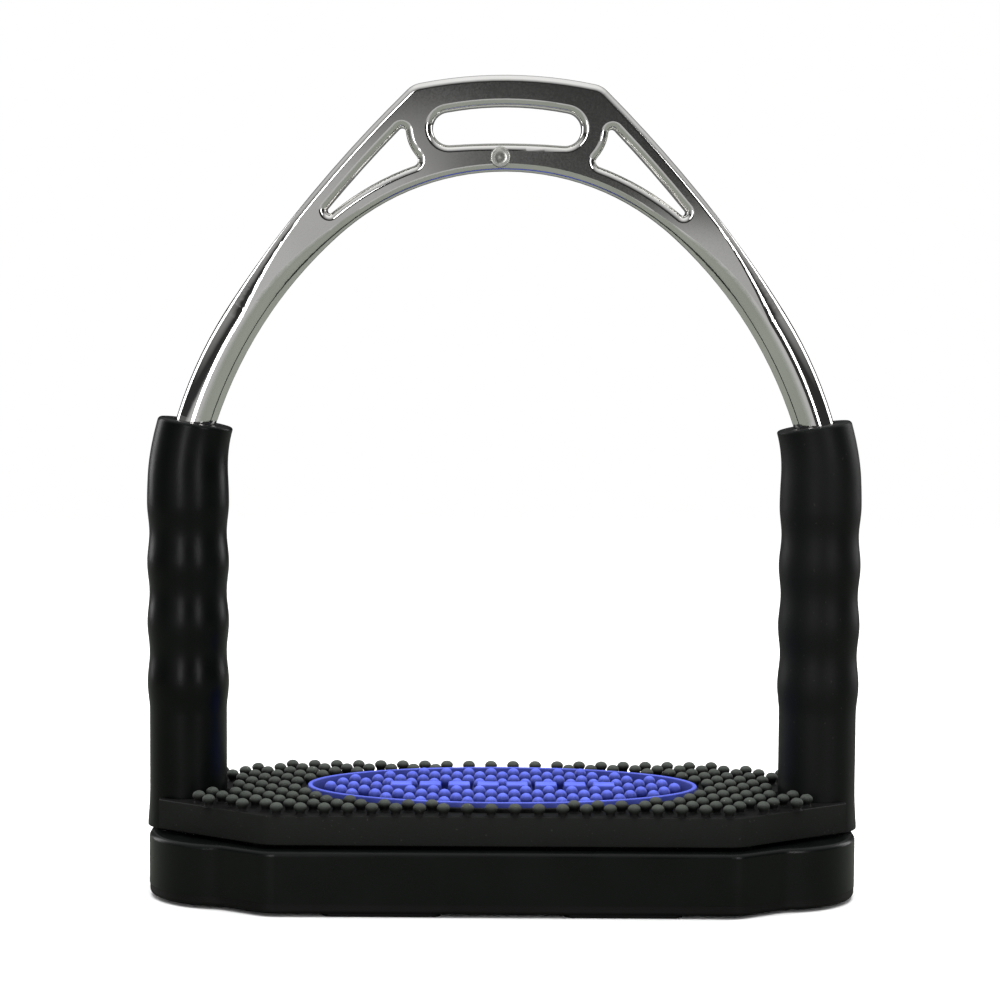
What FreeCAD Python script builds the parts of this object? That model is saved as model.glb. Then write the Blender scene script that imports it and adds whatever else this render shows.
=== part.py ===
import FreeCAD, Part
import math
import os

# Flexible safety stirrup: a forged bow whose two branches end in rubber-sleeved
# chains of four hinges, standing on a moulded base with a studded rubber tread.
# Millimetres, +Z up, +X along the tread, +Y across it.
# The origin is the centre of the footprint, on the floor.

# ---- driving dimensions -------------------------------------------------------

# Overall.
inside_width = 120.0
overall_height = 177.6

# Bow: a bar bent to arcs that get tighter towards its foot, with a flat crown.
bar_diameter = 8.6
crown_rise = 2.2
crown_corner_radius = 5.0
shoulder_corner_angle = 45.73
shoulder_arc_radius = 299.6
branch_top_angle = 34.11
branch_arc_radius = 89.5
foot_arc_angle = 17.5
foot_arc_radius = 42.0
crown_line_setback = 10.6
crown_line_depth = 16.2
branch_line_radius = 100.3
crown_edge_radius = 1.6
bar_flat = 0.2
rounding_starts_depth = 30.1
rounding_ends_depth = 51.0

# Eye for the stirrup leather, a slot with two long bowed sides.
top_bar_height = 6.7
eye_height = 7.9
eye_side_setback = 4.2
eye_top_radius = 70.0
eye_bottom_radius = 160.0
eye_end_inset = 3.7
eye_end_drop = 0.55

# Triangular windows beside the eye.
shoulder_bar_width = 4.6
inner_bar_width = 4.5
eye_wall = 5.65
window_top_radius = 0.9
window_inner_radius = 1.2
window_bottom_angle = 50.0

# Badge disc let into the bar under the eye.
badge_diameter = 4.4
badge_depth = 1.2
badge_offset = -1.4
badge_clearance = 0.05
badge_edge_radius = 0.3

# Hinge chain inside each sleeve.
hinge_pitch = 13.1
link_diameter = 11.4
tongue_thickness = 4.0
tongue_side_clearance = 0.15
hinge_end_clearance = 0.3
slot_floor_distance = 5.0
shoulder_distance = 5.5
pin_diameter = 3.0
pin_inset = 0.3
pin_fit_clearance = 0.02
pin_running_clearance = 0.06
closing_pin_clearance = 0.3

# Rubber sleeve.
sleeve_bulge_diameter = 17.8
sleeve_neck_diameter = 16.6
sleeve_top_diameter = 16.8
sleeve_foot_diameter = 17.8
sleeve_foot_flare_height = 8.0
sleeve_cuff_length = 12.2
sleeve_bar_clearance = 0.3
sleeve_link_clearance = 0.3
sleeve_foot_gap = 0.3

# Base: housing with a deck, and a bottom cover with two raised pads.
base_top_height = 14.0
foot_pad_height = 0.65
foot_pad_length = 25.0
foot_pad_start = 13.0
foot_pad_corner = 2.0
cover_thickness = 2.2
cover_reveal = 0.12
base_depth = 58.8
base_front_setback = 18.8
base_slant_angle = 33.0
base_bend_radius = 7.0
base_end_overhang = 7.9
base_end_depth = 45.6
base_end_corner = 17.5
base_lip_radius = 1.1
base_wall = 1.6
deck_thickness = 2.2
cover_edge_radius = 0.8

# Steel bar under the deck, with the two fork studs, washers and nuts.
frame_bar_thickness = 3.0
frame_bar_width = 24.0
frame_bar_overhang = 5.6
stud_diameter = 6.0
stud_hole_clearance = 0.1
stud_tail = 0.3
thread_clearance = 0.05
washer_thickness = 1.2
washer_ring = 3.0
nut_height = 3.2
nut_wall = 2.0

# Rubber tread and its insert.
tread_gap = 0.85
tread_thickness = 6.45
tread_depth = 54.4
tread_front_setback = 18.9
tread_overhang = 5.5
tread_tip_width = 2.05
tread_corner_radius = 8.0
tread_foot_setback = 16.0
tread_foot_corner = 2.5
tread_foot_depth = 44.0
notch_clearance = 0.5
knob_pitch = 5.03
knob_diameter = 2.1
knob_height = 2.6
knob_rows = 6
knob_margin = 0.9
knob_clearance = 0.2
insert_length = 85.2
insert_width = 43.6
insert_depth = 3.0
insert_rim_width = 1.1
insert_rim_drop = 0.6
insert_recess = 1.0
insert_clearance = 0.1

# Screws.
tread_screw_x = 30.0
tread_screw_y = 17.0
tread_screw_diameter = 3.0
tread_screw_head = 5.6
tread_screw_head_height = 2.0
tread_screw_reach = 3.4
bush_diameter = 5.6
bush_height = 3.8
cover_screw_x = 50.0
cover_screw_y = 19.0
cover_screw_diameter = 2.6
cover_screw_head = 5.0
cover_screw_head_height = 1.5
cover_screw_length = 9.0
cover_screw_tip_gap = 0.5
cover_screw_recess = 1.0
cover_boss_diameter = 6.4
screw_clearance = 0.05

# ---- derived places -----------------------------------------------------------

bar_radius = bar_diameter / 2
link_radius = link_diameter / 2
sleeve_bulge_radius = sleeve_bulge_diameter / 2
branch_x = inside_width / 2 + sleeve_bulge_radius
eye_bottom_height = overall_height - top_bar_height - eye_height
eye_middle_height = eye_bottom_height + eye_height / 2
inner_crown_radius = branch_x - crown_line_setback - bar_radius
inner_branch_radius = branch_line_radius - bar_radius
inner_crown_height = overall_height - crown_line_depth - bar_radius
badge_height = (inner_crown_height + eye_bottom_height) / 2
rounding_starts_height = overall_height - rounding_starts_depth
rounding_ends_height = overall_height - rounding_ends_depth
cover_top_height = foot_pad_height + cover_thickness
deck_bottom_height = base_top_height - deck_thickness
tread_bottom_height = base_top_height + tread_gap
tread_top_height = tread_bottom_height + tread_thickness
knob_top_height = tread_top_height + knob_height
knob_row_spacing = knob_pitch * math.sqrt(3) / 2
insert_floor_height = tread_top_height - insert_depth
notch_radius = max(sleeve_bulge_radius, sleeve_foot_diameter / 2) + notch_clearance
notch_mouth = math.sqrt(notch_radius ** 2 - tread_overhang ** 2)
tread_half_depth = tread_depth / 2
tread_front = branch_x - tread_front_setback
tread_end = branch_x + tread_overhang
tread_tip = notch_mouth + tread_tip_width

X = FreeCAD.Vector(1, 0, 0)
Y = FreeCAD.Vector(0, 1, 0)
Z = FreeCAD.Vector(0, 0, 1)
SIDES = {"left": -1, "right": 1}


# ---- helpers ------------------------------------------------------------------

def vec(x, y, z):
    return FreeCAD.Vector(x, y, z)


def cylinder(radius, start, end):
    axis = end - start
    return Part.makeCylinder(radius, axis.Length, start, axis)


def block(x0, x1, y0, y1, z0, z1):
    return Part.makeBox(x1 - x0, y1 - y0, z1 - z0, vec(x0, y0, z0))


def mirrored(shape):
    return shape.mirror(vec(0, 0, 0), X)


def on_side(shape, side):
    """The right-hand shape, or its mirror image for the left-hand side."""
    return mirrored(shape) if side < 0 else shape


def extruded(edges, direction):
    return Part.Face(Part.Wire(Part.__sortEdges__(edges))).extrude(direction)


def arc_between(center, start, end):
    """The shorter arc about a centre from start to end."""
    radius = (start - center).Length
    middle = (start - center) + (end - center)
    return Part.Arc(start, center + middle.normalize() * radius, end).toShape()


def away_from(center, through, radius):
    """The point at a radius from center, on its side towards another point."""
    return center + (through - center).normalize() * radius


def circles_meet(center_1, radius_1, center_2, radius_2, towards):
    """Where two circles in the XZ plane cross, on the side that towards points to."""
    line = center_2 - center_1
    gap = line.Length
    along = (gap ** 2 + radius_1 ** 2 - radius_2 ** 2) / (2 * gap)
    aside = math.sqrt(radius_1 ** 2 - along ** 2)
    line.normalize()
    normal = line.cross(Y)
    if normal.dot(towards) < 0:
        normal = normal * -1
    return center_1 + line * along + normal * aside


def heading_out(angle):
    """The unit vector at right angles to a path that leans angle degrees from +Z."""
    turn = math.radians(angle)
    return vec(math.cos(turn), 0, math.sin(turn))


def vertical_edges(shape, test):
    """The straight edges along Z of a shape whose middle passes the test."""
    found = []
    for edge in shape.Edges:
        if len(edge.Vertexes) == 2:
            line = edge.Vertexes[1].Point - edge.Vertexes[0].Point
            if abs(line.x) < 1e-6 and abs(line.y) < 1e-6 and test(edge.CenterOfMass):
                found.append(edge)
    return found


def level_edges(shape, height):
    """The edges of a shape that lie at one height."""
    return [
        edge
        for edge in shape.Edges
        if abs(edge.BoundBox.ZMin - height) < 1e-6 and abs(edge.BoundBox.ZMax - height) < 1e-6
    ]


def four_places(x, y):
    return [(sx * x, sy * y) for sx in (-1, 1) for sy in (-1, 1)]


def save(name, shape):
    shape.exportStep("parts/" + name + ".step")


# ---- bow ----------------------------------------------------------------------

def split_at_height(edge, height):
    """An arc cut in two where it passes a height."""
    first, last = edge.FirstParameter, edge.LastParameter
    rises = edge.valueAt(first).z < edge.valueAt(last).z
    low, high = (first, last) if rises else (last, first)
    if not edge.valueAt(low).z < height < edge.valueAt(high).z:
        return [edge]
    for _ in range(60):
        middle = (low + high) / 2
        if edge.valueAt(middle).z < height:
            low = middle
        else:
            high = middle
    return [edge.Curve.toShape(first, middle), edge.Curve.toShape(middle, last)]


def split_chain(edges):
    pieces = []
    for edge in edges:
        for part in split_at_height(edge, rounding_ends_height):
            pieces += split_at_height(part, rounding_starts_height)
    return pieces


# Places on the bow. The crown is as wide as the arcs below it leave room for.
outer_branch_radius = branch_arc_radius + bar_radius
outer_foot_radius = foot_arc_radius + bar_radius
shoulder_run = heading_out(branch_top_angle) - heading_out(shoulder_corner_angle)
branch_run = heading_out(foot_arc_angle) - heading_out(branch_top_angle)
foot_run = X - heading_out(foot_arc_angle)
side_run = shoulder_run * shoulder_arc_radius + branch_run * outer_branch_radius
side_run = side_run + foot_run * outer_foot_radius
crown_half_width = branch_x + bar_radius - side_run.x
eye_width = 2 * (crown_half_width - eye_side_setback)
crown_corner = vec(crown_half_width, 0, overall_height - crown_rise)
crown_top_radius = (crown_half_width ** 2 + crown_rise ** 2) / (2 * crown_rise)
crown_top_center = vec(0, 0, overall_height - crown_top_radius)
shoulder_center = crown_corner - heading_out(shoulder_corner_angle) * shoulder_arc_radius
branch_start = shoulder_center + heading_out(branch_top_angle) * shoulder_arc_radius
branch_center = branch_start - heading_out(branch_top_angle) * outer_branch_radius
foot_start = branch_start + branch_run * outer_branch_radius
bar_start_height = (crown_corner + side_run).z
foot_center = vec(branch_x - foot_arc_radius, 0, bar_start_height)
inner_crown_center = vec(0, 0, inner_crown_height - inner_crown_radius)
top_hinge_height = bar_start_height - shoulder_distance
hinge_heights = [top_hinge_height - (3 - i) * hinge_pitch for i in range(4)]


def outer_side():
    """The right outer edge of the bow, from the bar's foot to the middle of the top."""
    corner = circles_meet(
        shoulder_center,
        shoulder_arc_radius - crown_corner_radius,
        crown_top_center,
        crown_top_radius - crown_corner_radius,
        Z,
    )
    shoulder_end = away_from(shoulder_center, corner, shoulder_arc_radius)
    top_start = away_from(crown_top_center, corner, crown_top_radius)
    start = vec(branch_x + bar_radius, 0, bar_start_height)
    return [
        arc_between(foot_center, start, foot_start),
        arc_between(branch_center, foot_start, branch_start),
        arc_between(shoulder_center, branch_start, shoulder_end),
        arc_between(corner, shoulder_end, top_start),
        arc_between(crown_top_center, top_start, vec(0, 0, overall_height)),
    ]


def inner_side():
    """The right inner edge, from the bar's foot to the middle of the crown."""
    foot_radius = foot_arc_radius - bar_radius
    center = circles_meet(
        inner_crown_center,
        inner_branch_radius - inner_crown_radius,
        foot_center,
        inner_branch_radius - foot_radius,
        X * -1,
    )
    start = vec(branch_x - bar_radius, 0, bar_start_height)
    foot_top = away_from(center, foot_center, inner_branch_radius)
    crown_start = away_from(center, inner_crown_center, inner_branch_radius)
    return [
        arc_between(foot_center, start, foot_top),
        arc_between(center, foot_top, crown_start),
        arc_between(inner_crown_center, crown_start, vec(0, 0, inner_crown_height)),
    ]


def bow_outline():
    """Closed edges of the bow's outline in the XZ plane."""
    foot = Part.LineSegment(
        vec(branch_x - bar_radius, 0, bar_start_height),
        vec(branch_x + bar_radius, 0, bar_start_height),
    ).toShape()
    half = split_chain(outer_side()) + split_chain(inner_side()) + [foot]
    return half + [mirrored(edge) for edge in half]


def through_tool(edges):
    """A solid with this outline in the XZ plane that passes right through the bow."""
    tool = extruded(edges, Y * (bar_diameter + 2))
    tool.translate(Y * -(bar_radius + 1))
    return tool


def eye_tool():
    """The slot for the leather: two bowed sides and round ends."""
    top_center = vec(0, 0, eye_bottom_height + eye_height - eye_top_radius)
    bottom_center = vec(0, 0, eye_bottom_height - eye_bottom_radius)
    edges = []
    for side in SIDES.values():
        end = vec(side * (eye_width / 2 - eye_end_inset), 0, eye_middle_height)
        high = away_from(top_center, end, eye_top_radius)
        low = away_from(bottom_center, end, eye_bottom_radius)
        end.z = (high.z + low.z) / 2
        radius = (high - low).Length / 2
        edges.append(Part.Arc(high, end + X * (side * radius), low).toShape())
        edges.append(arc_between(top_center, vec(0, 0, eye_bottom_height + eye_height), high))
        edges.append(arc_between(bottom_center, vec(0, 0, eye_bottom_height), low))
    return through_tool(edges)


def window_tool():
    """The right-hand triangular window: three arcs with rounded corners."""
    boss = vec((eye_width - eye_height) / 2, 0, eye_middle_height - eye_end_drop)
    boss_radius = eye_height / 2 + eye_wall
    outer_radius = shoulder_arc_radius - shoulder_bar_width
    inner_radius = inner_crown_radius + inner_bar_width
    top = circles_meet(
        shoulder_center, outer_radius - window_top_radius, boss, boss_radius + window_top_radius, X
    )
    inner = circles_meet(
        inner_crown_center,
        inner_radius + window_inner_radius,
        boss,
        boss_radius + window_inner_radius,
        X,
    )
    # The lower corner's circle touches both long sides in this direction.
    way = heading_out(window_bottom_angle)
    apart = inner_crown_center - shoulder_center
    both = outer_radius + inner_radius
    bottom = inner_crown_center + way * ((both ** 2 - apart.dot(apart)) / (2 * (way.dot(apart) + both)))
    outer_arc = (shoulder_center, outer_radius)
    inner_arc = (inner_crown_center, inner_radius)
    boss_arc = (boss, boss_radius)
    corners = [(boss_arc, top, outer_arc), (outer_arc, bottom, inner_arc), (inner_arc, inner, boss_arc)]
    edges = []
    for index, (before, corner, after) in enumerate(corners):
        following = corners[(index + 1) % 3][1]
        start = away_from(before[0], corner, before[1])
        end = away_from(after[0], corner, after[1])
        edges.append(arc_between(corner, start, end))
        edges.append(arc_between(after[0], end, away_from(after[0], following, after[1])))
    return through_tool(edges)


def edge_radius(height):
    """Rounding of the bow's long edges: small on the crown, full on the bar."""
    full = bar_radius - bar_flat / 2
    share = (rounding_starts_height - height) / (rounding_starts_height - rounding_ends_height)
    share = min(1.0, max(0.0, share))
    return crown_edge_radius + (full - crown_edge_radius) * share


def rounded_bow(plate):
    """The plate with its front and back edges rounded by edge_radius."""
    document = FreeCAD.newDocument("bow")
    base = document.addObject("Part::Feature", "plate")
    base.Shape = plate
    rounding = document.addObject("Part::Fillet", "rounding")
    rounding.Base = base
    chosen = []
    for number, edge in enumerate(plate.Edges, 1):
        box = edge.BoundBox
        on_face = abs(abs(box.YMin) - bar_radius) < 1e-6 and box.YLength < 1e-6
        at_foot = box.ZMax < bar_start_height + 1e-6
        if on_face and not at_foot:
            first = edge.valueAt(edge.FirstParameter).z
            last = edge.valueAt(edge.LastParameter).z
            chosen.append((number, edge_radius(first), edge_radius(last)))
    rounding.Edges = chosen
    document.recompute()
    shape = rounding.Shape.copy()
    FreeCAD.closeDocument(document.Name)
    return shape


def shank_tongue():
    """The flat tongue under the bar's foot that goes into the top link."""
    pivot = vec(branch_x, 0, hinge_heights[3])
    half_width = math.sqrt(bar_radius ** 2 - (tongue_thickness / 2) ** 2) - bar_flat / 2
    return tongue(pivot, X, half_width, pin_running_clearance)


def badge_pocket(clearance):
    place = vec(badge_offset, -bar_radius, badge_height)
    radius = badge_diameter / 2 + clearance
    return cylinder(radius, place - Y, place + Y * badge_depth)


def make_bow():
    plate = extruded(bow_outline(), Y * bar_diameter)
    plate.translate(Y * -bar_radius)
    window = window_tool()
    plate = plate.cut(eye_tool()).cut(window).cut(mirrored(window))
    bow = rounded_bow(plate)
    bow = bow.cut(badge_pocket(badge_clearance))
    right = shank_tongue().cut(pin_hole(hinge_heights[3], X, closing_pin_clearance))
    left = mirrored(shank_tongue())
    return bow.fuse(right).fuse(left).removeSplitter()


def make_badge():
    place = vec(badge_offset, -bar_radius, badge_height)
    badge = cylinder(badge_diameter / 2, place + Y * badge_depth, place)
    front = [edge for edge in badge.Edges if edge.BoundBox.YMax < -bar_radius + 1e-6]
    return badge.makeFillet(badge_edge_radius, front)


# ---- hinge chain ----------------------------------------------------------------

def across(axis):
    """The level direction at right angles to a hinge axis."""
    return Y if abs(axis.x) > 0.5 else X


def oriented_block(pivot, axis, half_axis, half_across, low, high):
    """A box about a pivot, sized along the hinge axis, across it and in height."""
    size = axis * half_axis + across(axis) * half_across
    corner = pivot - size + Z * low
    return Part.makeBox(abs(size.x) * 2, abs(size.y) * 2, high - low, corner)


def pin_hole(height, axis, clearance):
    pivot = vec(branch_x, 0, height)
    reach = axis * (link_radius + 1)
    return cylinder(pin_diameter / 2 + clearance, pivot - reach, pivot + reach)


def tongue(pivot, axis, half_width, clearance):
    """A flat ear with a round lower end, from the pivot up to the shoulder above."""
    radius = min(half_width, slot_floor_distance - hinge_end_clearance)
    half_thickness = tongue_thickness / 2
    reach = axis * half_thickness
    shape = cylinder(radius, pivot - reach, pivot + reach)
    shape = shape.fuse(oriented_block(pivot, axis, half_thickness, radius, 0, shoulder_distance))
    return shape.cut(pin_hole(pivot.z, axis, clearance)).removeSplitter()


def fork_head(height, axis):
    """Two ears below and beside a pivot, with a round upper end."""
    pivot = vec(branch_x, 0, height)
    ear_radius = shoulder_distance - hinge_end_clearance
    low = height - slot_floor_distance
    column = cylinder(link_radius, vec(branch_x, 0, low), vec(branch_x, 0, height + ear_radius))
    reach = axis * link_radius
    profile = cylinder(ear_radius, pivot - reach, pivot + reach)
    profile = profile.fuse(
        oriented_block(pivot, axis, link_radius, link_radius, -slot_floor_distance, 0)
    )
    slot_half = tongue_thickness / 2 + tongue_side_clearance
    slot = oriented_block(pivot, axis, slot_half, link_radius, -slot_floor_distance, ear_radius)
    head = column.common(profile).cut(slot)
    return head.cut(pin_hole(height, axis, pin_fit_clearance))


def make_fork():
    """The bottom fork: stud through the deck, column and two ears."""
    stud_bottom = (
        deck_bottom_height - frame_bar_thickness - washer_thickness - nut_height - stud_tail
    )
    stud = cylinder(stud_diameter / 2, vec(branch_x, 0, stud_bottom), vec(branch_x, 0, base_top_height))
    floor = hinge_heights[0] - slot_floor_distance
    column = cylinder(link_radius, vec(branch_x, 0, base_top_height), vec(branch_x, 0, floor))
    return stud.fuse(column).fuse(fork_head(hinge_heights[0], X)).removeSplitter()


def make_link(index, lower_axis, upper_axis):
    """A link from hinge index to the one above: tongue, collar and ears."""
    low = hinge_heights[index]
    high = hinge_heights[index + 1]
    pivot = vec(branch_x, 0, low)
    collar_low = vec(branch_x, 0, low + shoulder_distance)
    collar_high = vec(branch_x, 0, high - slot_floor_distance)
    collar = cylinder(link_radius, collar_low, collar_high)
    ear = tongue(pivot, lower_axis, link_radius, pin_running_clearance)
    return collar.fuse(ear).fuse(fork_head(high, upper_axis)).removeSplitter()


def make_pin(index, axis):
    pivot = vec(branch_x, 0, hinge_heights[index])
    edge_distance = math.sqrt(link_radius ** 2 - (pin_diameter / 2) ** 2)
    reach = axis * (edge_distance - pin_inset)
    return cylinder(pin_diameter / 2, pivot - reach, pivot + reach)


# ---- rubber sleeve --------------------------------------------------------------

def make_sleeve():
    """A closed tube: straight foot, one bulge per hinge, and a top that follows the bar."""
    bulge = sleeve_bulge_radius
    neck = sleeve_neck_diameter / 2
    bore = link_radius + sleeve_link_clearance
    bottom = base_top_height + sleeve_foot_gap
    first = hinge_heights[0] - hinge_pitch / 2
    top = bar_start_height

    def at(radius, height):
        return vec(branch_x + radius, 0, height)

    flare_top = bottom + sleeve_foot_flare_height
    edges = [
        Part.LineSegment(at(bore, bottom), at(sleeve_foot_diameter / 2, bottom)).toShape(),
        Part.LineSegment(at(sleeve_foot_diameter / 2, bottom), at(neck, flare_top)).toShape(),
        Part.LineSegment(at(neck, flare_top), at(neck, first)).toShape(),
    ]
    for height in hinge_heights[:3]:
        start = height - hinge_pitch / 2
        end = height + hinge_pitch / 2
        edges.append(Part.Arc(at(neck, start), at(bulge, height), at(neck, end)).toShape())
    last = hinge_heights[3]
    upper = sleeve_top_diameter / 2
    edges.append(
        Part.Arc(at(neck, last - hinge_pitch / 2), at(bulge, last), at(upper, top)).toShape()
    )
    edges.append(Part.LineSegment(at(upper, top), at(bore, top)).toShape())
    edges.append(Part.LineSegment(at(bore, top), at(bore, bottom)).toShape())
    tube = Part.Face(Part.Wire(edges)).revolve(vec(branch_x, 0, 0), Z, 360)
    angle = math.degrees(sleeve_cuff_length / foot_arc_radius)
    center = vec(branch_x - foot_arc_radius, 0, top)
    ring = Part.Face(Part.Wire(Part.makeCircle(upper, vec(branch_x, 0, top))))
    hole = Part.Face(Part.Wire(Part.makeCircle(bar_radius + sleeve_bar_clearance, vec(branch_x, 0, top))))
    cuff = ring.revolve(center, Y, -angle).cut(hole.revolve(center, Y, -angle))
    return tube.fuse(cuff).removeSplitter()


# ---- base -----------------------------------------------------------------------

def eight_sided(near_x, near_y, far_x, far_y, low, high):
    """A prism whose plan has long sides at near_y, ends at far_x, and slants between."""
    right = [(near_x, -near_y), (far_x, -far_y), (far_x, far_y), (near_x, near_y)]
    left = [(-x, -y) for x, y in right]
    outline = [vec(x, y, low) for x, y in right + left]
    return Part.Face(Part.makePolygon(outline + outline[:1])).extrude(Z * (high - low))


def base_prism(inset, low, high):
    """The base's plan: a deep middle that slants in to a round-cornered end."""
    end_x = branch_x + base_end_overhang - inset
    half_end = base_end_depth / 2 - inset
    half_depth = base_depth / 2 - inset
    slant = math.radians(base_slant_angle)
    front_x = branch_x - base_front_setback - inset * math.tan(slant / 2)
    inner_y = half_end - base_bend_radius
    ends = block(-end_x, end_x, -half_end, half_end, low, high)
    ends = ends.makeFillet(base_end_corner - inset, vertical_edges(ends, lambda p: True))
    far_x = front_x + (half_depth - inner_y) / math.tan(slant)
    middle = eight_sided(front_x, half_depth, far_x, inner_y, low, high)
    middle = middle.common(block(-end_x, end_x, -half_depth, half_depth, low, high))
    prism = ends.fuse(middle).removeSplitter()
    bends = vertical_edges(prism, lambda p: abs(p.y) > 0.85 * half_end and abs(p.x) < branch_x)
    return prism.makeFillet(base_bend_radius, bends)


def stud_hole(x, low, high, clearance):
    return cylinder(stud_diameter / 2 + clearance, vec(x, 0, low), vec(x, 0, high))


def make_housing():
    shell = base_prism(0, cover_top_height, base_top_height)
    shell = shell.makeFillet(base_lip_radius, level_edges(shell, base_top_height))
    shell = shell.cut(base_prism(base_wall, cover_top_height, deck_bottom_height))
    for x, y in four_places(cover_screw_x, cover_screw_y):
        boss = cylinder(
            cover_boss_diameter / 2, vec(x, y, cover_top_height), vec(x, y, deck_bottom_height)
        )
        shell = shell.fuse(boss)
    shell = shell.removeSplitter()
    hole_top = foot_pad_height + cover_screw_length + cover_screw_tip_gap
    for x, y in four_places(cover_screw_x, cover_screw_y):
        radius = cover_screw_diameter / 2 + screw_clearance
        shell = shell.cut(cylinder(radius, vec(x, y, cover_top_height), vec(x, y, hole_top)))
    for x, y in four_places(tread_screw_x, tread_screw_y):
        radius = tread_screw_diameter / 2 + screw_clearance
        shell = shell.cut(cylinder(radius, vec(x, y, deck_bottom_height), vec(x, y, base_top_height)))
    for side in SIDES.values():
        hole = stud_hole(side * branch_x, deck_bottom_height, base_top_height, stud_hole_clearance)
        shell = shell.cut(hole)
    return shell


def foot_pad(side):
    start = foot_pad_start
    end = foot_pad_start + foot_pad_length
    half_depth = base_depth / 2 - cover_edge_radius - cover_reveal
    pad = block(start, end, -half_depth, half_depth, 0, foot_pad_height)
    pad = pad.makeFillet(foot_pad_corner, vertical_edges(pad, lambda p: True))
    return on_side(pad, side)


def make_cover():
    cover = base_prism(cover_reveal, foot_pad_height, cover_top_height)
    cover = cover.makeFillet(cover_edge_radius, level_edges(cover, foot_pad_height))
    for side in SIDES.values():
        cover = cover.fuse(foot_pad(side))
    for x, y in four_places(cover_screw_x, cover_screw_y):
        cover = cover.cut(cover_screw(x, y, screw_clearance))
    return cover.removeSplitter()


def cover_screw(x, y, clearance):
    """A flat-headed screw whose head is flush with the cover's underside."""
    low = foot_pad_height
    head = Part.makeCone(
        cover_screw_head / 2 + clearance,
        cover_screw_diameter / 2 + clearance,
        cover_screw_head_height,
        vec(x, y, low),
    )
    shank = cylinder(
        cover_screw_diameter / 2 + clearance, vec(x, y, low), vec(x, y, low + cover_screw_length)
    )
    return head.fuse(shank).removeSplitter()


def make_cover_screws():
    screws = []
    for x, y in four_places(cover_screw_x, cover_screw_y):
        face = vec(x, y, foot_pad_height)
        recess = cylinder(cover_screw_diameter / 3, face, face + Z * cover_screw_recess)
        screws.append(cover_screw(x, y, 0).cut(recess))
    return Part.makeCompound(screws)


def make_frame_bar():
    top = deck_bottom_height
    low = top - frame_bar_thickness
    half_length = branch_x + frame_bar_overhang
    half_width = frame_bar_width / 2
    bar = block(-half_length, half_length, -half_width, half_width, low, top)
    bar = bar.common(base_prism(base_wall + stud_hole_clearance, low, top))
    for side in SIDES.values():
        bar = bar.cut(stud_hole(side * branch_x, low, top, stud_hole_clearance))
    return bar


def make_washers():
    top = deck_bottom_height - frame_bar_thickness
    low = top - washer_thickness
    washers = []
    for side in SIDES.values():
        x = side * branch_x
        washer = cylinder(stud_diameter / 2 + washer_ring, vec(x, 0, low), vec(x, 0, top))
        washers.append(washer.cut(stud_hole(x, low, top, stud_hole_clearance)))
    return Part.makeCompound(washers)


def make_nuts():
    top = deck_bottom_height - frame_bar_thickness - washer_thickness
    low = top - nut_height
    corner_radius = (stud_diameter + 2 * nut_wall) / math.sqrt(3)
    nuts = []
    for side in SIDES.values():
        x = side * branch_x
        corners = [
            vec(
                x + corner_radius * math.sin(math.radians(60 * i)),
                corner_radius * math.cos(math.radians(60 * i)),
                low,
            )
            for i in range(7)
        ]
        nut = Part.Face(Part.makePolygon(corners)).extrude(Z * nut_height)
        nuts.append(nut.cut(stud_hole(x, low, top, thread_clearance)))
    return Part.makeCompound(nuts)


# ---- tread ----------------------------------------------------------------------

def notch(side, low, high):
    """The round notch in the tread's end that leaves room for a sleeve."""
    center = vec(branch_x, 0, low)
    hole = cylinder(notch_radius, center, center + Z * (high - low))
    mouth = block(branch_x, tread_end + 1, -notch_mouth, notch_mouth, low, high)
    return on_side(hole.fuse(mouth), side)


def insert_prism(inset, low, high):
    ellipse = Part.Ellipse(vec(0, 0, low), insert_length / 2 - inset, insert_width / 2 - inset)
    return extruded([ellipse.toShape()], Z * (high - low))


def inside_tread(x, y):
    """Whether a knob at x, y stands on the tread, clear of notches and insert."""
    x = abs(x)
    y = abs(y)
    run = tread_end - tread_front
    fall = tread_half_depth - tread_tip
    from_chamfer = (run * (tread_half_depth - y) - fall * (x - tread_front)) / math.hypot(run, fall)
    radius = knob_diameter / 2
    inside = tread_half_depth - y >= radius - 1e-6 and tread_end - x >= radius
    off_notch = math.hypot(x - branch_x, y) >= notch_radius + radius + knob_clearance
    half_a = insert_length / 2 + radius + knob_clearance
    half_b = insert_width / 2 + radius + knob_clearance
    off_insert = (x / half_a) ** 2 + (y / half_b) ** 2 >= 1
    return inside and from_chamfer >= knob_margin and off_notch and off_insert


def knob_places():
    """Knob centres: staggered rows, the middle row through the centre."""
    places = []
    count = int(2 * tread_end / knob_pitch)
    for row in range(-knob_rows, knob_rows + 1):
        shift = 0.5 if row % 2 == 0 else 0.0
        for column in range(-count, count + 1):
            x = (column + shift) * knob_pitch
            y = row * knob_row_spacing
            if inside_tread(x, y):
                places.append((x, y))
    return places


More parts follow.
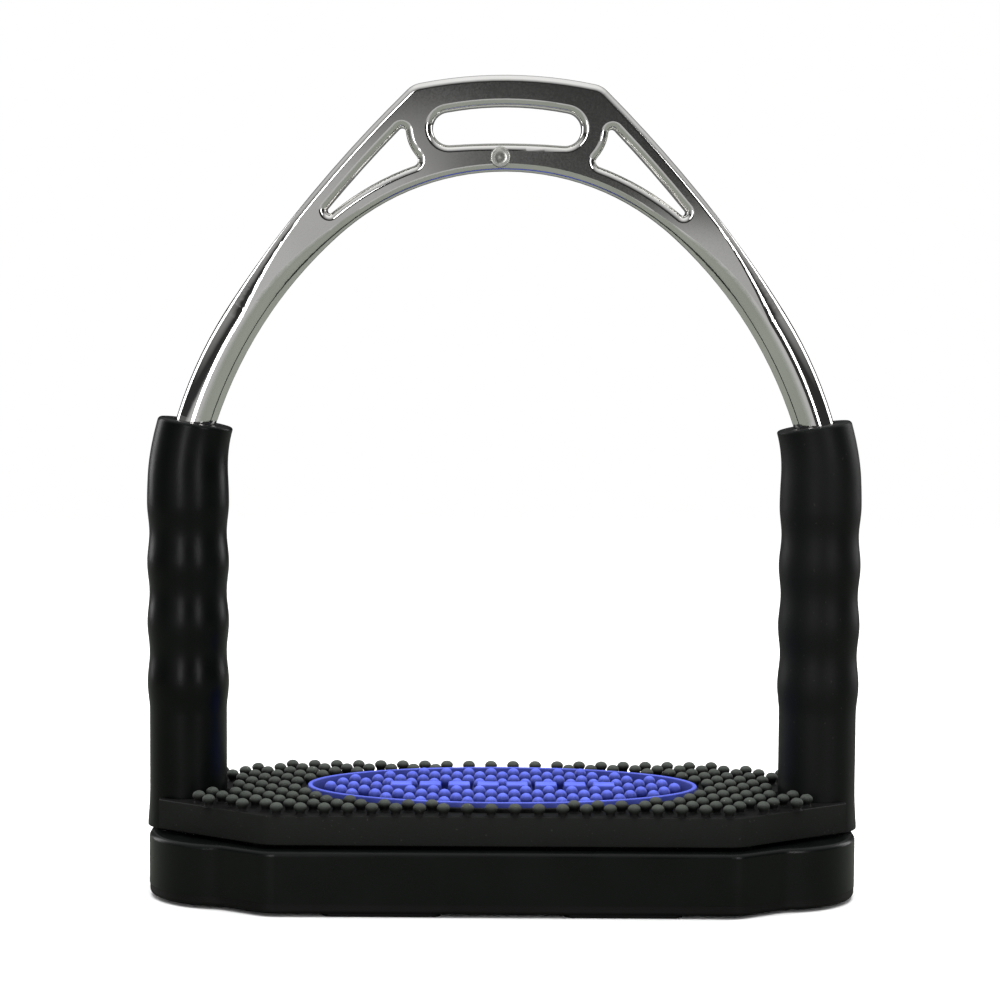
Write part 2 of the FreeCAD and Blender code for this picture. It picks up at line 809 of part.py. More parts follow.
def make_tread():
    pad = eight_sided(
        tread_front, tread_half_depth, tread_end, tread_tip, tread_bottom_height, tread_top_height
    )
    pad = pad.makeFillet(tread_corner_radius, vertical_edges(pad, lambda p: abs(p.x) < tread_end - 1))
    for side in SIDES.values():
        pad = pad.cut(notch(side, tread_bottom_height, tread_top_height))
    foot_half_length = branch_x - tread_foot_setback
    foot = block(
        -foot_half_length,
        foot_half_length,
        -tread_foot_depth / 2,
        tread_foot_depth / 2,
        base_top_height,
        tread_bottom_height,
    )
    foot = foot.makeFillet(tread_foot_corner, vertical_edges(foot, lambda p: True))
    pad = pad.fuse(foot)
    pad = pad.cut(insert_prism(-insert_clearance, insert_floor_height, tread_top_height))
    for x, y in four_places(tread_screw_x, tread_screw_y):
        radius = bush_diameter / 2
        top = base_top_height + bush_height
        pad = pad.cut(cylinder(radius, vec(x, y, base_top_height), vec(x, y, top)))
    knobs = [
        cylinder(knob_diameter / 2, vec(x, y, tread_top_height), vec(x, y, knob_top_height))
        for x, y in knob_places()
    ]
    return pad.fuse(knobs).removeSplitter()


def make_insert():
    """The oval insert: a floor set below the tread and a raised rim."""
    rim_top = knob_top_height - insert_rim_drop
    plug = insert_prism(0, insert_floor_height, rim_top)
    return plug.cut(insert_prism(insert_rim_width, tread_top_height - insert_recess, rim_top))


def make_bushes():
    bushes = []
    top = base_top_height + bush_height
    for x, y in four_places(tread_screw_x, tread_screw_y):
        bush = cylinder(bush_diameter / 2, vec(x, y, base_top_height), vec(x, y, top))
        radius = tread_screw_diameter / 2 + screw_clearance
        bushes.append(bush.cut(cylinder(radius, vec(x, y, base_top_height), vec(x, y, top))))
    return Part.makeCompound(bushes)


def make_tread_screws():
    screws = []
    for x, y in four_places(tread_screw_x, tread_screw_y):
        seat = vec(x, y, deck_bottom_height)
        head = cylinder(tread_screw_head / 2, seat - Z * tread_screw_head_height, seat)
        tip = vec(x, y, base_top_height + tread_screw_reach)
        screws.append(head.fuse(cylinder(tread_screw_diameter / 2, seat, tip)).removeSplitter())
    return Part.makeCompound(screws)


# ---- write every piece ------------------------------------------------------------

def main():
    os.makedirs("parts", exist_ok=True)
    save("bow", make_bow())
    save("badge_disc", make_badge())
    save("base_housing", make_housing())
    save("bottom_cover", make_cover())
    save("cover_screws", make_cover_screws())
    save("frame_bar", make_frame_bar())
    save("stud_washers", make_washers())
    save("stud_nuts", make_nuts())
    save("tread_pad", make_tread())
    save("tread_insert", make_insert())
    save("tread_bushes", make_bushes())
    save("tread_screws", make_tread_screws())
    hinge_axes = [X, Y, Y, X]
    pieces = {"fork": make_fork(), "sleeve": make_sleeve()}
    for index in range(3):
        link = make_link(index, hinge_axes[index], hinge_axes[index + 1])
        pieces["link_" + str(index + 1)] = link
    for index in range(4):
        pieces["pin_" + str(index + 1)] = make_pin(index, hinge_axes[index])
    for side_name, side in SIDES.items():
        for name, shape in pieces.items():
            save(side_name + "_" + name, on_side(shape, side))


main()
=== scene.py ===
import bpy
import bmesh
import math
from mathutils import Matrix, Vector


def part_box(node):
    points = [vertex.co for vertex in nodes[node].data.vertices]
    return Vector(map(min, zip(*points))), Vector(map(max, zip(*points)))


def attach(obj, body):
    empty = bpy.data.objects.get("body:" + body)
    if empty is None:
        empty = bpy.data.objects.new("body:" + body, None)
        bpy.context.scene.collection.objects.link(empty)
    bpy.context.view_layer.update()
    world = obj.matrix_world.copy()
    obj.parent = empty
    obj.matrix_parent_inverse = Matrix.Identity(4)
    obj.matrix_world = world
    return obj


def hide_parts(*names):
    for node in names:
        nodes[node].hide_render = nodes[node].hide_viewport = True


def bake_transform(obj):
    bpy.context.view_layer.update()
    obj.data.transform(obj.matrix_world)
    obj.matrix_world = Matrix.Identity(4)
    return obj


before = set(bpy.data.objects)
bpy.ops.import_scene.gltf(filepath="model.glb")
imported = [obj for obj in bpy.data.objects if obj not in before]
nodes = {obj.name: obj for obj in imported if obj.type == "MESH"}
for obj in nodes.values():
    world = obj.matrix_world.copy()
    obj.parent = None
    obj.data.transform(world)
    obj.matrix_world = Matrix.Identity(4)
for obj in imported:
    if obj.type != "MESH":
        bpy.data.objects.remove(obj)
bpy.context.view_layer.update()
scene = bpy.context.scene
MM = 0.001


def mm(*values):
    return Vector(v * MM for v in values)


def middle(node):
    low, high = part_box(node)
    return (low + high) / 2


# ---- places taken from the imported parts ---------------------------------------

branch_x = middle("right_pin_1").x
hinge_z = [middle("right_pin_%d" % i).z for i in (1, 2, 3, 4)]
pitch = hinge_z[1] - hinge_z[0]
sleeve_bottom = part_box("right_sleeve")[0].z
pad_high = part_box("tread_pad")[1]
insert_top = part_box("tread_insert")[1].z


# ---- node helpers ----------------------------------------------------------------

def new_material(name):
    material = bpy.data.materials.new(name)
    material.use_nodes = True
    tree = material.node_tree
    return material, tree, tree.nodes["Principled BSDF"]


def add(tree, kind, inputs=None, **settings):
    """A node of this kind, with settings on the node and values or links on its inputs."""
    node = tree.nodes.new(kind)
    for key, value in settings.items():
        setattr(node, key, value)
    for key, value in (inputs or {}).items():
        if isinstance(value, bpy.types.NodeSocket):
            tree.links.new(value, node.inputs[key])
        else:
            node.inputs[key].default_value = value
    return node


def place(tree, scale=(1, 1, 1)):
    coords = add(tree, "ShaderNodeTexCoord")
    return add(tree, "ShaderNodeMapping", {"Vector": coords.outputs["Object"], "Scale": scale}).outputs[0]


def noise_field(tree, vector, scale, detail=3.0, roughness=0.5):
    return add(
        tree,
        "ShaderNodeTexNoise",
        {"Vector": vector, "Scale": scale, "Detail": detail, "Roughness": roughness},
    ).outputs["Fac"]


def spread(tree, value, low, high, source=(0.3, 0.7)):
    """A 0 to 1 field stretched from its source range to low .. high."""
    return add(
        tree,
        "ShaderNodeMapRange",
        {"Value": value, "From Min": source[0], "From Max": source[1], "To Min": low, "To Max": high},
    ).outputs["Result"]


def two_colours(tree, factor, first, second):
    mix = add(tree, "ShaderNodeMix", data_type="RGBA")
    tree.links.new(factor, mix.inputs["Factor"])
    mix.inputs["A"].default_value = (*first, 1)
    mix.inputs["B"].default_value = (*second, 1)
    return mix.outputs["Result"]


def bump(tree, height, distance, strength=1.0, normal=None):
    inputs = {"Height": height, "Distance": distance, "Strength": strength}
    if normal is not None:
        inputs["Normal"] = normal
    return add(tree, "ShaderNodeBump", inputs).outputs["Normal"]


def metal(name, dark, light, rough, wave=0.0, grain_scale=(1, 1, 1)):
    """Metal with slow colour change and either a slow unevenness or fine turning marks."""
    material, tree, shader = new_material(name)
    shader.inputs["Metallic"].default_value = 1.0
    still = place(tree)
    slow = noise_field(tree, still, 60, 2)
    fine = noise_field(tree, place(tree, grain_scale), 2500, 2)
    tree.links.new(two_colours(tree, spread(tree, slow, 0, 1), dark, light), shader.inputs["Base Color"])
    tree.links.new(spread(tree, fine, *rough), shader.inputs["Roughness"])
    if wave:
        normal = bump(tree, noise_field(tree, still, 26, 0), wave)
    else:
        normal = bump(tree, fine, 0.00002, 0.4)
    tree.links.new(normal, shader.inputs["Normal"])
    return material


def painted_light_by_height(tree, colour, vector, painted_light_tones):
    """The colour times a factor that follows straight lines between (height in mm, factor) pairs; it paints
    light and shade by height.
    """
    top_height = 25.0
    top_factor = 5.0
    height = add(tree, "ShaderNodeSeparateXYZ", {0: vector}).outputs["Z"]
    share = spread(tree, height, 0, 1, (0.0, top_height * MM))
    curve = add(tree, "ShaderNodeFloatCurve", {"Value": share})
    points = curve.mapping.curves[0].points
    for z, factor in painted_light_tones:
        points.new(z / top_height, factor / top_factor)
    points.remove(points[-1])
    points.remove(points[0])
    for point in points:
        point.handle_type = "VECTOR"
    curve.mapping.extend = "HORIZONTAL"
    curve.mapping.update()
    factor = spread(tree, curve.outputs[0], 0, top_factor, (0, 1))
    scaled = add(tree, "ShaderNodeVectorMath", {0: colour, "Scale": factor}, operation="SCALE")
    return scaled.outputs["Vector"]


def moulded(name, dark, light, rough, grain_scale, grain, specular=0.5, speck=None, painted_light_tones=None):
    """Rubber or plastic: colour that drifts, a fine grain, pale specks, and painted light and shade that
    follow the height.
    """
    material, tree, shader = new_material(name)
    still = place(tree)
    slow = noise_field(tree, still, 90, 3)
    fine = noise_field(tree, still, grain_scale, 3, 0.6)
    colour = two_colours(tree, spread(tree, slow, 0, 1), dark, light)
    if speck:
        threshold, tint = speck
        dots = noise_field(tree, still, 1700, 0)
        factor = spread(tree, dots, 0, 1, (threshold, threshold + 0.04))
        mix = add(tree, "ShaderNodeMix", {"A": colour}, data_type="RGBA")
        tree.links.new(factor, mix.inputs["Factor"])
        mix.inputs["B"].default_value = (*tint, 1)
        colour = mix.outputs["Result"]
    # Painted light and shade: the colour is scaled by a factor given for each height.
    if painted_light_tones:
        colour = painted_light_by_height(tree, colour, still, painted_light_tones)
    tree.links.new(colour, shader.inputs["Base Color"])
    tree.links.new(spread(tree, slow, *rough), shader.inputs["Roughness"])
    shader.inputs["Specular IOR Level"].default_value = specular
    tree.links.new(bump(tree, fine, grain, 0.5), shader.inputs["Normal"])
    return material


polished_steel = metal("polished_steel", (0.78, 0.775, 0.755), (0.86, 0.855, 0.84), (0.05, 0.08), 0.0004)


def ringed_metal(name, center, spacing):
    """Pale metal with shallow round grooves about a point."""
    material, tree, shader = new_material(name)
    shader.inputs["Metallic"].default_value = 1.0
    coords = add(tree, "ShaderNodeTexCoord").outputs["Object"]
    away = add(tree, "ShaderNodeVectorMath", {0: coords, 1: center}, operation="DISTANCE")
    turns = add(
        tree, "ShaderNodeMath", {0: away.outputs["Value"], 1: 2 * math.pi / spacing}, operation="MULTIPLY"
    )
    ring = add(tree, "ShaderNodeMath", {0: turns.outputs[0]}, operation="COSINE").outputs[0]
    tone = spread(tree, ring, 0, 1, (-0.9, 0.2))
    colour = two_colours(tree, tone, (0.30, 0.30, 0.28), (0.74, 0.74, 0.70))
    tree.links.new(colour, shader.inputs["Base Color"])
    tree.links.new(spread(tree, noise_field(tree, coords, 900), 0.22, 0.34), shader.inputs["Roughness"])
    tree.links.new(bump(tree, tone, 0.00006), shader.inputs["Normal"])
    return material


badge_steel = ringed_metal("badge_steel", tuple(middle("badge_disc")), 1.9 * MM)
plain_steel = metal("plain_steel", (0.50, 0.50, 0.50), (0.60, 0.60, 0.59), (0.25, 0.38), 0.0, (1, 1, 8))
brass = metal("turned_brass", (0.72, 0.52, 0.22), (0.80, 0.62, 0.30), (0.22, 0.34), 0.0, (1, 1, 8))
base_plastic = moulded(
    "base_plastic", (0.0025, 0.0034, 0.0030), (0.0036, 0.0047, 0.0042), (0.25, 0.33), 1800, 0.00002, 0.22,
)
cover_plastic = moulded(
    "cover_plastic", (0.004, 0.0043, 0.004), (0.006, 0.0064, 0.006), (0.42, 0.55), 1200, 0.00004, 0.2,
)
# The pad's height tones paint shade on its top face between the studs and paint light on the stud heads; its
# sides keep their own colour.
pad_rubber = moulded(
    "pad_rubber", (0.010, 0.0112, 0.010), (0.0145, 0.016, 0.0143), (0.55, 0.72), 1500, 0.00006, 0.22,
    (0.80, (0.04, 0.041, 0.038)), [(21.15, 1.0), (21.3, 0.12), (21.9, 0.2), (22.6, 1.6), (23.5, 4.6)],
)
# The insert's height tones paint shade on its sunken floor and paint light on the stud heads, the bar tops
# and the rim top.
blue_rubber = moulded(
    "blue_rubber", (0.036, 0.050, 0.27), (0.052, 0.072, 0.35), (0.42, 0.58), 1500, 0.00005, 0.35,
    None, [(20.3, 0.45), (21.5, 0.8), (22.6, 1.15), (23.0, 1.2), (23.3, 1.8), (23.7, 2.2)],
)
left_rubber = moulded(
    "left_sleeve_rubber", (0.0017, 0.0024, 0.0020), (0.0030, 0.0041, 0.0036), (0.26, 0.34), 1300,
    0.00003, 0.16,
)
right_rubber = moulded(
    "right_sleeve_rubber", (0.0024, 0.0033, 0.0028), (0.0040, 0.0051, 0.0045), (0.44, 0.54), 1300,
    0.00004, 0.2,
    (0.82, (0.02, 0.02, 0.019)),
)


# ---- mesh helpers ------------------------------------------------------------------

def finish_mesh(name, build, material, angle=35.0):
    """An object from a bmesh, smooth except across edges sharper than angle."""
    mesh = bpy.data.meshes.new(name)
    bmesh.ops.recalc_face_normals(build, faces=build.faces)
    build.to_mesh(mesh)
    build.free()
    mesh.shade_smooth()
    mesh.set_sharp_from_angle(angle=math.radians(angle))
    piece = bpy.data.objects.new(name, mesh)
    scene.collection.objects.link(piece)
    mesh.materials.append(material)
    return piece


def lathe(build, profile, center, segments):
    """Rings of (radius, height) points about +Z at center; a zero radius at the top closes it."""
    rings = []
    for radius, height in profile:
        if radius < 1e-9:
            rings.append([build.verts.new(center + Vector((0, 0, height)))])
            continue
        ring = []
        for i in range(segments):
            turn = 2 * math.pi * i / segments
            point = Vector((radius * math.cos(turn), radius * math.sin(turn), height))
            ring.append(build.verts.new(center + point))
        rings.append(ring)
    for low, high in zip(rings, rings[1:]):
        for i in range(segments):
            j = (i + 1) % segments
            if len(high) == 1:
                build.faces.new((low[i], low[j], high[0]))
            else:
                build.faces.new((low[i], low[j], high[j], high[i]))


def flat_plate(name, loops, low, high, edge):
    """A plate between two heights with rounded edges, from closed loops of (x, y)."""
    curve = bpy.data.curves.new(name, "CURVE")
    curve.dimensions = "2D"
    curve.fill_mode = "BOTH"
    curve.extrude = (high - low) / 2 - edge
    curve.bevel_depth = edge
    curve.bevel_resolution = 3
    curve.offset = -edge
    for loop in loops:
        spline = curve.splines.new("POLY")
        spline.points.add(len(loop) - 1)
        for point, (x, y) in zip(spline.points, loop):
            point.co = (x, y, 0, 1)
        spline.use_cyclic_u = True
    holder = bpy.data.objects.new(name, curve)
    scene.collection.objects.link(holder)
    bpy.context.view_layer.update()
    mesh = bpy.data.meshes.new_from_object(holder.evaluated_get(bpy.context.evaluated_depsgraph_get()))
    bpy.data.objects.remove(holder)
    bpy.data.curves.remove(curve)
    build = bmesh.new()
    build.from_mesh(mesh)
    bpy.data.meshes.remove(mesh)
    bmesh.ops.translate(build, verts=build.verts, vec=(0, 0, (low + high) / 2))
    bmesh.ops.remove_doubles(build, verts=build.verts, dist=1e-6)
    return build


def join_builds(target, *others):
    for other in others:
        mesh = bpy.data.meshes.new("part")
        other.to_mesh(mesh)
        other.free()
        target.from_mesh(mesh)
        bpy.data.meshes.remove(mesh)
    return target


# ---- tread pad -------------------------------------------------------------------------

TREAD_TOP = 21.3
PAD_BOTTOM = 14.85
PAD_CORNER = 8.0
FOOT_HALF_X = 53
FOOT_HALF_Y = 22
FOOT_BOTTOM = 14.0
FOOT_TOP = 18.3
COLLAR_WIDTH = 1.0
COLLAR_BOTTOM = 21.0
COLLAR_TOP = 22.2
OVAL_GAP = 0.1
HALF_DEPTH = pad_high.y / MM
FRONT_X = 50.0
END_X = pad_high.x / MM
TIP_Y = 9.67
NOTCH_R = 9.4
OVAL_A = 42.7
OVAL_B = 21.9
KNOB_PITCH = 5.03
ROW = KNOB_PITCH * math.sqrt(3) / 2
x_branch = branch_x / MM


def pad_loop():
    """The pad's plan with its round end notches, in metres."""
    start = math.atan2(math.sqrt(NOTCH_R ** 2 - (END_X - x_branch) ** 2), END_X - x_branch)
    quarter = []
    run = Vector((END_X - FRONT_X, -(HALF_DEPTH - TIP_Y))).normalized()
    turn = math.acos(run.x)
    reach = PAD_CORNER * math.tan(turn / 2)
    for i in range(9):
        a = turn * i / 8
        y = HALF_DEPTH - PAD_CORNER + PAD_CORNER * math.cos(a)
        quarter.append((FRONT_X - reach + PAD_CORNER * math.sin(a), y))
    quarter.append((END_X, TIP_Y))
    steps = 28
    for i in range(steps + 1):
        a = start + (math.pi - start) * i / steps
        quarter.append((x_branch + NOTCH_R * math.cos(a), NOTCH_R * math.sin(a)))
    lower = [(x, -y) for x, y in reversed(quarter[:-1])]
    right = quarter + lower
    left = [(-x, -y) for x, y in right]
    return [(x * MM, y * MM) for x, y in right + left]


def oval_loop(inset, count=96):
    a = (OVAL_A - inset) * MM
    b = (OVAL_B - inset) * MM
    turns = [2 * math.pi * i / count for i in range(count)]
    return [(a * math.cos(turn), b * math.sin(turn)) for turn in turns]


def box_loop(center_x, half_x, half_y):
    corners = [(-1, -1), (1, -1), (1, 1), (-1, 1)]
    return [((center_x + sx * half_x) * MM, sy * half_y * MM) for sx, sy in corners]


def on_pad(x, y):
    """Whether a stud at this place stands clear of the pad's edges, the notches and the oval."""
    x, y = abs(x), abs(y)
    run = END_X - FRONT_X
    fall = HALF_DEPTH - TIP_Y
    from_chamfer = (run * (HALF_DEPTH - y) - fall * (x - FRONT_X)) / math.hypot(run, fall)
    if HALF_DEPTH - y < 1.0 or END_X - x < 1.05 or from_chamfer < 0.3:
        return False
    if math.hypot(x - x_branch, y) < NOTCH_R + 0.9:
        return False
    return (x / (OVAL_A + 1.25)) ** 2 + (y / (OVAL_B + 1.25)) ** 2 >= 1


def in_oval(x, y):
    """Whether a stud at this place stands clear of the insert's rim."""
    return (x / (OVAL_A - 2.4)) ** 2 + (y / (OVAL_B - 2.4)) ** 2 <= 1


def lattice(test):
    """The places of a staggered stud pattern, in millimetres, that pass the test."""
    spots = []
    for row in range(-6, 7):
        shift = 0.5 if row % 2 == 0 else 0.0
        for column in range(-16, 17):
            x = (column + shift) * KNOB_PITCH
            y = row * ROW
            if test(x, y):
                spots.append((x, y))
    return spots


KNOB_PROFILE = [
    (1.35, -0.10), (1.12, 0.06), (1.00, 0.25), (0.96, 0.55), (1.04, 0.80), (1.22, 1.02), (1.36, 1.28),
    (1.40, 1.55), (1.35, 1.82), (1.20, 2.08), (0.97, 2.31), (0.67, 2.48), (0.34, 2.57), (0.0, 2.60),
]


def add_knobs(build, spots, floor, lift=1.0):
    profile = [(r * MM, z * lift * MM) for r, z in KNOB_PROFILE]
    for x, y in spots:
        lathe(build, profile, mm(x, y, floor), 18)


pad_loops = [pad_loop(), oval_loop(-OVAL_GAP)]
pad_build = flat_plate("pad", pad_loops, PAD_BOTTOM * MM, TREAD_TOP * MM, 0.28 * MM)
foot_loops = [box_loop(0, FOOT_HALF_X, FOOT_HALF_Y)]
foot_build = flat_plate("pad_foot", foot_loops, FOOT_BOTTOM * MM, FOOT_TOP * MM, 0.1 * MM)
collar_loops = [oval_loop(-COLLAR_WIDTH), oval_loop(-OVAL_GAP)]
collar_build = flat_plate("pad_collar", collar_loops, COLLAR_BOTTOM * MM, COLLAR_TOP * MM, 0.2 * MM)
pad_build = join_builds(pad_build, foot_build, collar_build)
add_knobs(pad_build, lattice(on_pad), TREAD_TOP)
pad = finish_mesh("tread_pad_studded", pad_build, pad_rubber)
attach(pad, "base")
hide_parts("tread_pad")

# ---- insert -------------------------------------------------------------------------------

RIM_TOP = insert_top / MM
RIM_WIDTH = 1.0
INSERT_FLOOR = 20.3
INSERT_BOTTOM = 18.35
BAR_COUNT = 8
BAR_PITCH = 6.35
BAR_HALF_LENGTH = 2.4
BAR_HALF_WIDTH = 2.1
BAR_TOP = TREAD_TOP + 2.3
rim_loops = [oval_loop(0.02), oval_loop(RIM_WIDTH)]
insert_build = flat_plate("insert_rim", rim_loops, INSERT_BOTTOM * MM, RIM_TOP * MM, 0.3 * MM)
floor_loops = [oval_loop(RIM_WIDTH * 0.5)]
floor_build = flat_plate("insert_floor", floor_loops, INSERT_BOTTOM * MM, INSERT_FLOOR * MM, 0.05 * MM)
insert_build = join_builds(insert_build, floor_build)


def beside_bars(x, y):
    return in_oval(x, y) and not (abs(y) < 1.0 and abs(x) < 27)


add_knobs(insert_build, lattice(beside_bars), INSERT_FLOOR, 1.33)
for i in range(BAR_COUNT):
    loop = box_loop((i - (BAR_COUNT - 1) / 2) * BAR_PITCH, BAR_HALF_LENGTH, BAR_HALF_WIDTH)
    bar = flat_plate("insert_bar", [loop], (INSERT_FLOOR - 0.2) * MM, BAR_TOP * MM, 0.5 * MM)
    insert_build = join_builds(insert_build, bar)
insert = finish_mesh("tread_insert_studded", insert_build, blue_rubber)
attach(insert, "base")
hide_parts("tread_insert")

# ---- rubber sleeves -----------------------------------------------------------------------

FOOT_ARC = 42.0 * MM
CUFF = 12.2 * MM
BULGE_R = 8.9 * MM
NECK_R = 8.42 * MM
END_R = 8.2 * MM
bar_start = hinge_z[3] + 5.5 * MM
BORE_R = 4.6 * MM
LEAN_SHARE = 0.55


def sleeve_radius(z):
    """Outer radius at a height along the sleeve's own line."""
    first = hinge_z[0] - pitch / 2
    if z < first:
        rise = (z - sleeve_bottom) / (first - sleeve_bottom)
        flare = max(0.0, 1 - rise * 2.6)
        return NECK_R + 0.5 * MM * flare ** 2
    if z < hinge_z[3]:
        phase = (z - hinge_z[0]) / pitch
        wave = 0.5 + 0.5 * math.cos(2 * math.pi * phase)
        return NECK_R + (BULGE_R - NECK_R) * wave
    end = bar_start + CUFF
    rest = (z - hinge_z[3]) / (end - hinge_z[3])
    return BULGE_R + (END_R - BULGE_R) * (3 * rest ** 2 - 2 * rest ** 3)


def on_line(z, radius, turn):
    """A point at a radius and turn about the sleeve's line, which bends in with the bar at the top."""
    x = radius * math.cos(turn)
    y = radius * math.sin(turn)
    if z <= bar_start:
        return Vector((branch_x + x, y, z))
    angle = (z - bar_start) / FOOT_ARC
    tilt = LEAN_SHARE * angle
    center_x = branch_x - FOOT_ARC + FOOT_ARC * math.cos(angle)
    center_z = bar_start + FOOT_ARC * math.sin(angle)
    return Vector((center_x + x * math.cos(tilt), y, center_z + x * math.sin(tilt)))


def sleeve_rings(low, high, open_low, open_high):
    """(height, radius) along one section, with a rounded lip where it is the sleeve's own end."""
    edge = 0.7 * MM
    rings = []
    if open_low:
        inner = NECK_R - 1.9 * MM
        rings.append((low + 2 * MM, inner))
        rings.append((low, inner))
        for i in range(5):
            a = math.pi / 2 * i / 4
            outer = sleeve_radius(low + edge)
            rings.append((low + edge * (1 - math.sin(a)), outer - edge + edge * math.sin(a)))
    start = low + (edge if open_low else 0)
    end = high - (edge if open_high else 0)
    count = max(2, int(round((end - start) / (0.3 * MM))))
    for i in range(1 if open_low else 0, count + 1):
        z = start + (end - start) * i / count
        rings.append((z, sleeve_radius(z)))
    if open_high:
        outer = sleeve_radius(high - edge)
        for i in range(1, 6):
            a = math.pi / 2 * i / 5
            rings.append((high - edge + edge * math.sin(a), outer - edge + edge * math.cos(a)))
        rings.append((high, BORE_R + 0.25 * MM))
        rings.append((high - 0.25 * MM, BORE_R))
        rings.append((high - 6 * MM, BORE_R))
    return rings


def sleeve_piece(side, number, low, high, material):
    build = bmesh.new()
    segments = 96
    rows = []
    for z, radius in sleeve_rings(low, high, number == 0, number == 3):
        row = []
        for i in range(segments):
            point = on_line(z, radius, 2 * math.pi * i / segments)
            row.append(build.verts.new((side * point.x, point.y, point.z)))
        rows.append(row)
    for lower, upper in zip(rows, rows[1:]):
        for i in range(segments):
            j = (i + 1) % segments
            corners = (lower[i], lower[j], upper[j], upper[i])
            build.faces.new(corners if side > 0 else corners[::-1])
    name = "%s_sleeve_section_%d" % ("right" if side > 0 else "left", number + 1)
    return finish_mesh(name, build, material, 60)


cuts = [sleeve_bottom] + [(a + b) / 2 for a, b in zip(hinge_z, hinge_z[1:])] + [bar_start + CUFF]
chains = {
    "left": ["base", "left_link_1", "left_link_2", "left_link_3", "bow"],
    "right": ["base", "right_link_1", "right_link_2", "right_link_3", "bow"],
}
for side_name, side, rubber in (("left", -1, left_rubber), ("right", 1, right_rubber)):
    chain = chains[side_name]
    for number in range(4):
        piece = sleeve_piece(side, number, cuts[number], cuts[number + 1], rubber)
        lower, upper = chain[number], chain[number + 1]
        # The bow is joined to left_link_3, which always turns as right_link_3 does.
        if (lower, upper) == ("right_link_3", "bow"):
            lower = "left_link_3"
        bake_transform(piece)
        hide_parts(side_name + "_sleeve")

# ---- materials of the CAD parts ---------------------------------------------------------------

FINISHES = {
    "bow": polished_steel,
    "badge_disc": badge_steel,
    "base_housing": base_plastic,
    "bottom_cover": cover_plastic,
    "tread_bushes": brass,
}
for name, part in nodes.items():
    material = FINISHES.get(name, plain_steel)
    for slot_index in range(len(part.material_slots)):
        part.material_slots[slot_index].material = material
    part.data.shade_smooth()
    part.data.set_sharp_from_angle(angle=math.radians(28))

# ---- stage, light and camera ---------------------------------------------------------------------

def stage_floor():
    """A floor that is white to the camera, dark in reflections, and fades out with distance."""
    build = bmesh.new()
    bmesh.ops.create_circle(build, cap_ends=True, radius=4.0, segments=96)
    mesh = bpy.data.meshes.new("floor")
    build.to_mesh(mesh)
    build.free()
    floor = bpy.data.objects.new("floor", mesh)
    scene.collection.objects.link(floor)
    material, tree, shader = new_material("floor_white")
    fade = add(tree, "ShaderNodeMapRange", {"From Min": 0.35, "From Max": 0.9, "To Min": 0.0, "To Max": 1.0})
    coords = add(tree, "ShaderNodeTexCoord")
    length = add(tree, "ShaderNodeVectorMath", {0: coords.outputs["Object"]}, operation="LENGTH")
    tree.links.new(length.outputs["Value"], fade.inputs["Value"])
    path = add(tree, "ShaderNodeLightPath")
    tone = two_colours(tree, path.outputs["Is Camera Ray"], (0.15, 0.16, 0.14), (0.92, 0.92, 0.92))
    tree.links.new(tone, shader.inputs["Base Color"])
    shader.inputs["Roughness"].default_value = 0.9
    shader.inputs["Specular IOR Level"].default_value = 0.0
    clear = add(tree, "ShaderNodeBsdfTransparent")
    share = fade.outputs["Result"]
    blend = add(tree, "ShaderNodeMixShader", {0: share, 1: shader.outputs[0], 2: clear.outputs[0]})
    tree.links.new(blend.outputs[0], tree.nodes["Material Output"].inputs["Surface"])
    mesh.materials.append(material)


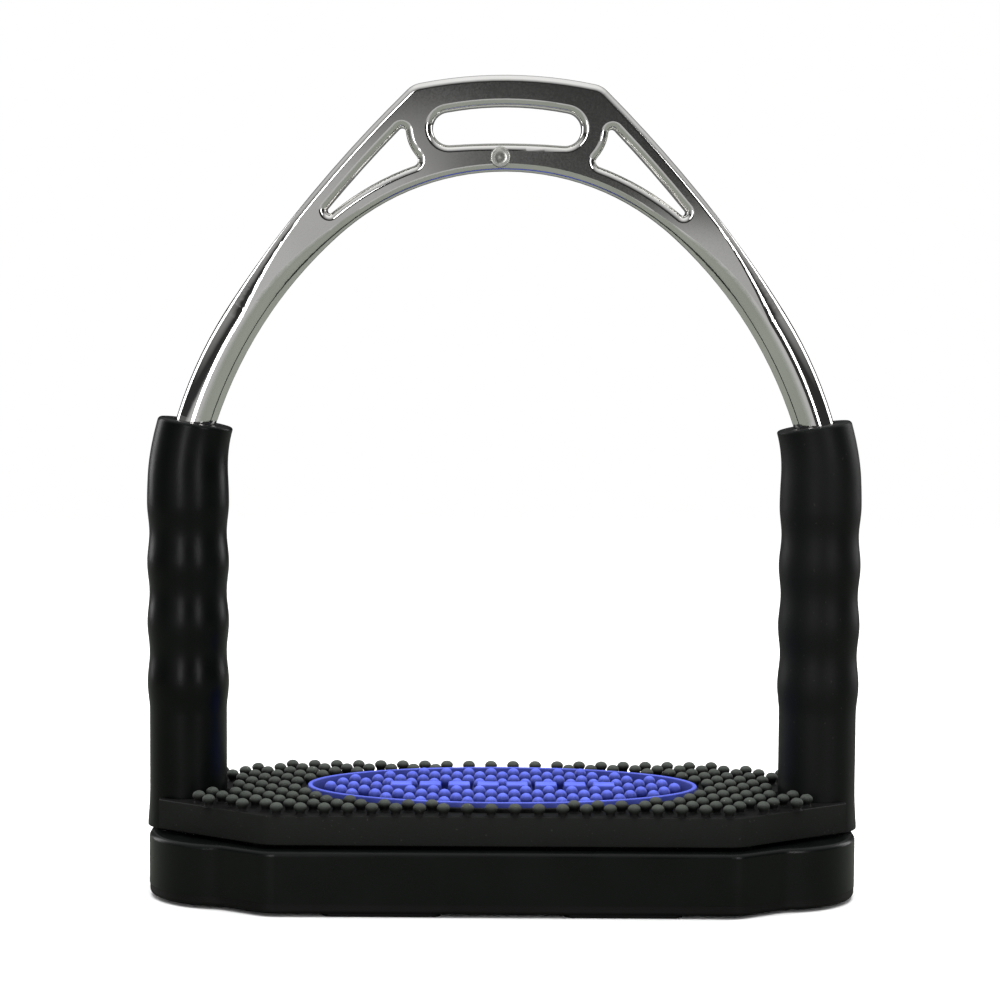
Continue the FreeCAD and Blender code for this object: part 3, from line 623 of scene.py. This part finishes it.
def studio_world():
    """White to the camera; the object is lit by, and reflects, grey bands that change with height."""
    world = bpy.data.worlds.new("studio")
    scene.world = world
    world.use_nodes = True
    tree = world.node_tree
    background = tree.nodes["Background"]
    coords = add(tree, "ShaderNodeTexCoord")
    axes = add(tree, "ShaderNodeSeparateXYZ", {0: coords.outputs["Generated"]})
    lean = add(
        tree, "ShaderNodeMath", {0: axes.outputs["X"], 1: 0.2, 2: axes.outputs["Z"]}, operation="MULTIPLY_ADD"
    )
    ramp = add(tree, "ShaderNodeValToRGB", {0: spread(tree, lean.outputs[0], 0.0, 1.0, (-0.2, 1.0))})
    stops = [(0.13, 0.52), (0.177, 0.42), (0.195, 0.06), (0.215, 0.025), (0.32, 0.02), (1.0, 0.03)]
    ramp.color_ramp.elements[0].color = (0.52, 0.52, 0.52, 1)
    ramp.color_ramp.elements[1].color = (0.03, 0.03, 0.03, 1)
    for position, value in stops[:-1]:
        ramp.color_ramp.elements.new(position).color = (value, value, value, 1)
    front = spread(tree, axes.outputs["Y"], 1.0, 0.25, (-0.8, -0.5))
    low_part = add(tree, "ShaderNodeMath", {0: ramp.outputs[0], 1: front}, operation="MULTIPLY")
    high_part = spread(tree, axes.outputs["Z"], 0.03, 0.95, (0.3, 0.9))
    both = add(tree, "ShaderNodeMath", {0: low_part.outputs[0], 1: high_part}, operation="MAXIMUM")
    path = add(tree, "ShaderNodeLightPath")
    to_camera = path.outputs["Is Camera Ray"]
    seen = add(tree, "ShaderNodeMath", {0: to_camera, 1: both.outputs[0]}, operation="MAXIMUM")
    background.inputs["Color"].default_value = (1, 1, 1, 1)
    tree.links.new(seen.outputs[0], background.inputs["Strength"])


def softbox(name, location, target, width, height, power, mirrored=True):
    light = bpy.data.lights.new(name, "AREA")
    light.shape = "RECTANGLE"
    light.size = width
    light.size_y = height
    light.energy = power
    lamp = bpy.data.objects.new(name, light)
    scene.collection.objects.link(lamp)
    lamp.location = location
    lamp.rotation_euler = (Vector(target) - Vector(location)).to_track_quat("-Z", "Y").to_euler()
    lamp.visible_camera = False
    lamp.visible_glossy = mirrored


stage_floor()
studio_world()
softbox("overhead", (0.0, 0.1, 1.3), (0, 0, 0), 1.3, 1.3, 30, False)
softbox("left_side", (-1.1, 0.7, 0.4), (0, 0, 0.1), 0.5, 0.8, 4)
softbox("right_side", (1.1, 0.7, 0.4), (0, 0, 0.1), 0.5, 0.8, 4)
softbox("left_strip", (-0.41, -1.13, 0.33), (0, 0, 0.1), 0.2, 0.6, 2.4)
softbox("right_strip", (0.64, -1.02, 0.33), (0, 0, 0.1), 0.2, 0.6, 2.4)


CAMERA_PLACE = mm(-3.56, -646.5, 141.4)
CAMERA_LENS = 107.24


def add_camera():
    pitch_down = math.radians(-4.905)
    yaw = math.radians(0.229)
    roll = math.radians(0.388)
    level = math.cos(pitch_down)
    forward = Vector((math.sin(yaw) * level, math.cos(yaw) * level, math.sin(pitch_down)))
    right = Vector((math.cos(yaw), -math.sin(yaw), 0))
    up = right.cross(forward)
    right_rolled = right * math.cos(roll) + up * math.sin(roll)
    up_rolled = up * math.cos(roll) - right * math.sin(roll)
    data = bpy.data.cameras.new("camera")
    data.lens = CAMERA_LENS
    data.sensor_width = 36.0
    data.clip_start = 0.01
    data.clip_end = 20.0
    camera = bpy.data.objects.new("camera", data)
    scene.collection.objects.link(camera)
    turn = Matrix((right_rolled, up_rolled, -forward)).transposed().to_4x4()
    camera.matrix_world = Matrix.Translation(CAMERA_PLACE) @ turn
    scene.camera = camera


add_camera()
scene.view_settings.view_transform = "Standard"
